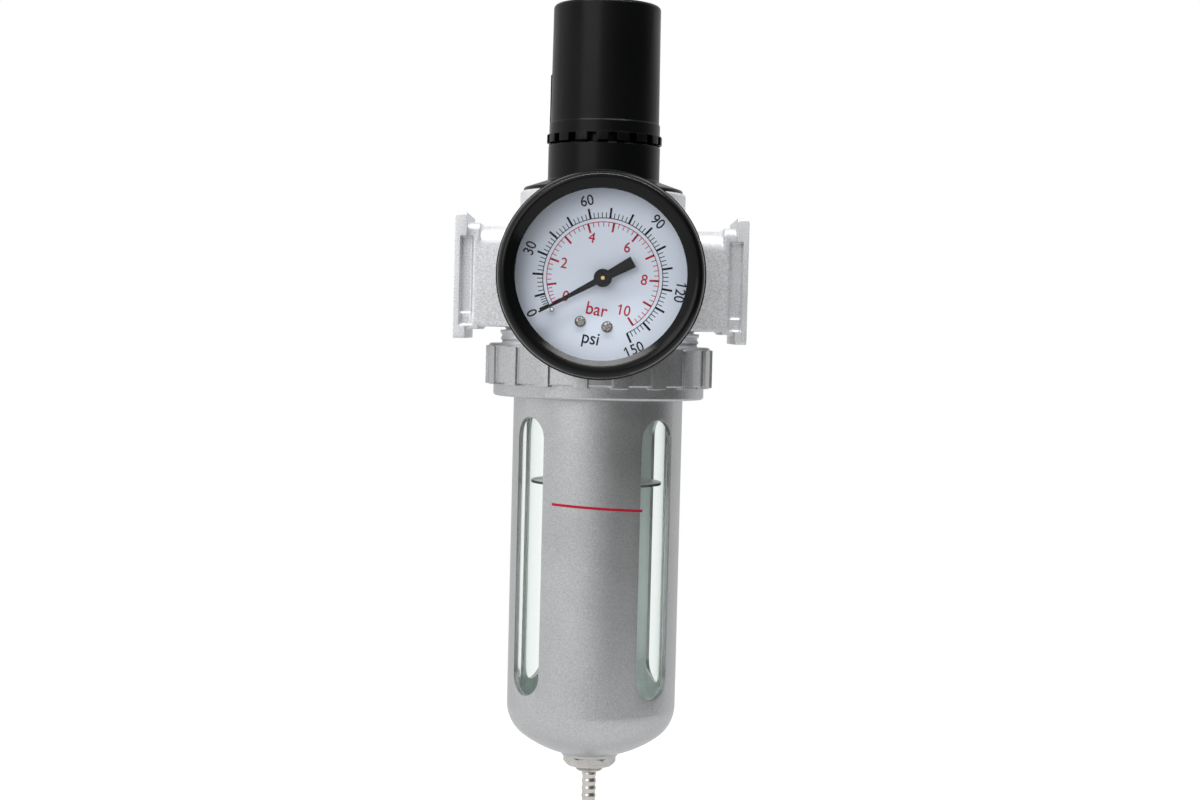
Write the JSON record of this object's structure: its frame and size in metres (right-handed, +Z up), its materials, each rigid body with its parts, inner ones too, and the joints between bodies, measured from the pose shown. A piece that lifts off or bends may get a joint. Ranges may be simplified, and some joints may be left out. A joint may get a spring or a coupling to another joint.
{
  "type": "air filter regulator",
  "caption": "Compressed-air filter-regulator: die-cast body with two ports, pull-up knob, front dial gauge, clear bowl in a slotted metal guard and push-up drain.",
  "frame": {"origin": "centre of the inlet port's mouth, on the line of the two ports", "axes": "+X along the flow from inlet to outlet, +Z up along the bowl and knob, gauge facing -Y"},
  "size_m": [0.084, 0.093, 0.2375],
  "materials": {
    "cast_silver": "silver metallic paint on a die casting",
    "collar_silver": "silver metallic paint",
    "guard_silver": "smooth silver metallic paint",
    "black_plastic": "glossy black moulded plastic",
    "gauge_black": "glossy black paint on pressed steel",
    "clear_bowl": "clear moulded polycarbonate",
    "clear_lens": "clear acrylic",
    "dial_white": "white printed sheet",
    "pointer_black": "matt black paint",
    "plated_steel": "nickel plate",
    "spring_steel": "bright wire",
    "plate_aluminium": "plain pressed sheet",
    "brass": "machined brass",
    "rubber": "nitrile rubber",
    "inner_plastic": "moulded nylon",
    "filter_white": "sintered white polyethylene"
  },
  "bodies": {
    "main": {"body": "cast_silver", "rear_plug": "plated_steel", "bonnet": "black_plastic", "range_spring": "spring_steel", "diaphragm": "rubber", "valve_spring": "spring_steel", "valve_guide": "inner_plastic", "guide_ring": "rubber", "deflector": "inner_plastic", "filter_element": "filter_white", "baffle": "inner_plastic", "gauge_stem": "brass", "gauge_case": "gauge_black", "gauge_bezel": "gauge_black", "lens_gasket": "rubber", "gauge_lens": "clear_lens", "gauge_dial": "dial_white", "dial_screws": "plated_steel", "stop_pin": "brass", "movement_back": "brass", "movement_pillars": "brass", "movement_front": "brass", "bourdon_tube": "brass"},
    "screw": {"adjusting_screw": "plated_steel", "thrust_washer": "brass", "screw_clip": "plated_steel"},
    "knob": {"knob": "black_plastic"},
    "nut": {"spring_nut": "brass"},
    "valve": {"diaphragm_plate": "plate_aluminium", "relief_seat": "brass", "valve_stem": "brass", "valve_seal": "rubber"},
    "bowl_set": {"bowl": "clear_bowl", "bowl_guard": "guard_silver", "bowl_ring": "rubber", "drain_body": "plated_steel", "drain_gasket": "rubber", "drain_nut": "plated_steel", "drain_spring": "spring_steel"},
    "collar": {"collar": "collar_silver"},
    "drain": {"drain_stem": "plated_steel", "drain_seal": "rubber"},
    "pointer": {"pointer": "pointer_black", "pointer_arbor": "brass"},
    "sector": {"sector_gear": "brass"},
    "link": {"tube_link": "brass"}
  },
  "joints": [
    {"name": "knob_turn", "type": "hinge", "parent": "main", "child": "screw", "pos_m": [0.042, 0, 0.06], "axis": [0, 0, -1], "range_deg": [0, 1800]},
    {"name": "knob_lift", "type": "slide", "parent": "screw", "child": "knob", "axis": [0, 0, 1], "range_m": [0, 0.003]},
    {"name": "nut_travel", "type": "slide", "parent": "main", "child": "nut", "axis": [0, 0, -1], "range_m": [0, 0.0075], "deforming": ["range_spring"]},
    {"name": "valve_stroke", "type": "slide", "parent": "main", "child": "valve", "axis": [0, 0, -1], "range_m": [0, 0.0015], "stiffness_N_per_m": 3000, "springref_m": -0.0003, "deforming": ["diaphragm", "valve_spring", "range_spring"]},
    {"name": "bowl_drop", "type": "slide", "parent": "main", "child": "bowl_set", "axis": [0, 0, -1], "range_m": [0, 0.05]},
    {"name": "collar_turn", "type": "hinge", "parent": "bowl_set", "child": "collar", "pos_m": [0.042, 0, -0.027], "axis": [0, 0, -1], "range_deg": [0, 1800]},
    {"name": "drain_push", "type": "slide", "parent": "bowl_set", "child": "drain", "axis": [0, 0, 1], "range_m": [0, 0.002], "stiffness_N_per_m": 500, "springref_m": -0.001, "deforming": ["drain_spring"]},
    {"name": "pointer_turn", "type": "hinge", "parent": "main", "child": "pointer", "pos_m": [0.0425, -0.05, -0.0008], "axis": [0, 1, 0], "range_deg": [0, 274.3], "stiffness_Nm_per_rad": 0.0004, "springref_deg": -17.19},
    {"name": "sector_turn", "type": "hinge", "parent": "main", "child": "sector", "pos_m": [0.0425, -0.047, -0.0128], "axis": [0, 1, 0], "range_deg": [-30.6, 0]},
    {"name": "link_turn", "type": "hinge", "parent": "sector", "child": "link", "pos_m": [0.04739, -0.0478, -0.01384], "axis": [0, 1, 0], "range_deg": [0, 30.6]}
  ],
  "couplings": [
    {"joint": "nut_travel", "follows": "knob_turn", "m_per_rad": 0.00023873},
    {"joint": "sector_turn", "follows": "pointer_turn", "ratio": -0.11111},
    {"joint": "link_turn", "follows": "pointer_turn", "ratio": 0.11111}
  ]
}
